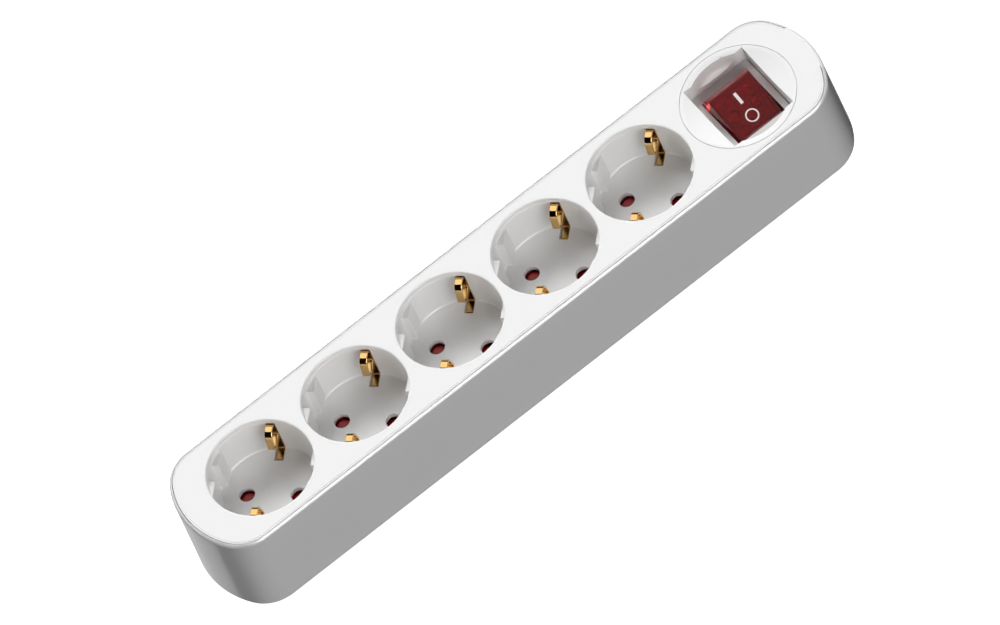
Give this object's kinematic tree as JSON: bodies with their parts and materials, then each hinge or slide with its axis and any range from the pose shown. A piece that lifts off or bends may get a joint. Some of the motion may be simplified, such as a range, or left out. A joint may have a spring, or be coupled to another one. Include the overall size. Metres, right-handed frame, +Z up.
{
  "type": "desk power strip",
  "caption": "White desk power strip with a row of round earthed sockets, pin shutters behind them, and a lit red rocker switch at one end.",
  "frame": {"origin": "centre of the bounding box of the strip at its flat underside", "axes": "+X along the strip towards the switch end, +Y across it, +Z up out of the sockets"},
  "size_m": [0.2796, 0.05, 0.0385],
  "materials": {
    "white_plastic": "semi-gloss moulded, off-white",
    "grey_plastic": "satin moulded grey",
    "cream_plastic": "satin moulded cream",
    "clear_red": "clear deep red, polished",
    "shutter_red": "satin dark red",
    "brass": "bright stamped brass",
    "contact_copper": "bright stamped copper alloy",
    "spring_steel": "zinc-plated steel",
    "lamp_glass": "clear glass",
    "brown_insulation": "soft brown insulation",
    "blue_insulation": "soft blue insulation"
  },
  "bodies": {
    "root": {"housing_shell": "white_plastic", "top_cover": "white_plastic", "switch_landing": "white_plastic", "socket_insert_1": "white_plastic", "shutter_spring_1": "spring_steel", "earth_clip_1": "brass", "socket_insert_2": "white_plastic", "shutter_spring_2": "spring_steel", "earth_clip_2": "brass", "socket_insert_3": "white_plastic", "shutter_spring_3": "spring_steel", "earth_clip_3": "brass", "socket_insert_4": "white_plastic", "shutter_spring_4": "spring_steel", "earth_clip_4": "brass", "socket_insert_5": "white_plastic", "shutter_spring_5": "spring_steel", "earth_clip_5": "brass", "earth_busbar": "brass", "live_busbar": "contact_copper", "neutral_busbar": "contact_copper", "switch_body": "grey_plastic", "live_feed_terminal": "contact_copper", "live_load_terminal": "contact_copper", "neutral_feed_terminal": "contact_copper", "neutral_load_terminal": "contact_copper", "live_jumper": "brown_insulation", "neutral_jumper": "blue_insulation", "cable_clamp": "cream_plastic", "clamp_screw_1": "spring_steel", "clamp_screw_2": "spring_steel", "housing_screw_1": "spring_steel", "housing_screw_2": "spring_steel", "housing_screw_3": "spring_steel", "housing_screw_4": "spring_steel", "housing_screw_5": "spring_steel", "housing_screw_6": "spring_steel"},
    "rocker": {"rocker": "clear_red", "neon_lamp": "lamp_glass", "lamp_resistor": "cream_plastic", "plunger_1": "cream_plastic", "plunger_2": "cream_plastic", "plunger_spring_1": "spring_steel", "plunger_spring_2": "spring_steel"},
    "live_contact_blade": {"live_contact_blade": "contact_copper"},
    "neutral_contact_blade": {"neutral_contact_blade": "contact_copper"},
    "shutter_1": {"shutter_1": "shutter_red"},
    "shutter_2": {"shutter_2": "shutter_red"},
    "shutter_3": {"shutter_3": "shutter_red"},
    "shutter_4": {"shutter_4": "shutter_red"},
    "shutter_5": {"shutter_5": "shutter_red"}
  },
  "joints": [
    {"name": "rocker_tilt", "type": "hinge", "parent": "root", "child": "rocker", "pos_m": [0.1079, 0, 0.0277], "axis": [-1, 0, 0], "range_deg": [0, 44]},
    {"name": "live_blade_tilt", "type": "hinge", "parent": "root", "child": "live_contact_blade", "pos_m": [0.1031, 0, 0.0156], "axis": [-1, 0, 0], "range_deg": [-20, 0]},
    {"name": "neutral_blade_tilt", "type": "hinge", "parent": "root", "child": "neutral_contact_blade", "pos_m": [0.1127, 0, 0.0156], "axis": [-1, 0, 0], "range_deg": [-20, 0]},
    {"name": "shutter_1_turn", "type": "hinge", "parent": "root", "child": "shutter_1", "pos_m": [-0.107, 0, 0.0163], "axis": [0, 0, 1], "range_deg": [0, 40], "stiffness_Nm_per_rad": 0.003, "springref_deg": -28.65},
    {"name": "shutter_2_turn", "type": "hinge", "parent": "root", "child": "shutter_2", "pos_m": [-0.06433, 0, 0.0163], "axis": [0, 0, 1], "range_deg": [0, 40], "stiffness_Nm_per_rad": 0.003, "springref_deg": -28.65},
    {"name": "shutter_3_turn", "type": "hinge", "parent": "root", "child": "shutter_3", "pos_m": [-0.02166, 0, 0.0163], "axis": [0, 0, 1], "range_deg": [0, 40], "stiffness_Nm_per_rad": 0.003, "springref_deg": -28.65},
    {"name": "shutter_4_turn", "type": "hinge", "parent": "root", "child": "shutter_4", "pos_m": [0.02101, 0, 0.0163], "axis": [0, 0, 1], "range_deg": [0, 40], "stiffness_Nm_per_rad": 0.003, "springref_deg": -28.65},
    {"name": "shutter_5_turn", "type": "hinge", "parent": "root", "child": "shutter_5", "pos_m": [0.06368, 0, 0.0163], "axis": [0, 0, 1], "range_deg": [0, 40], "stiffness_Nm_per_rad": 0.003, "springref_deg": -28.65}
  ],
  "couplings": [
    {"joint": "live_blade_tilt", "follows": "rocker_tilt", "ratio": -0.4545},
    {"joint": "neutral_blade_tilt", "follows": "rocker_tilt", "ratio": -0.4545}
  ]
}
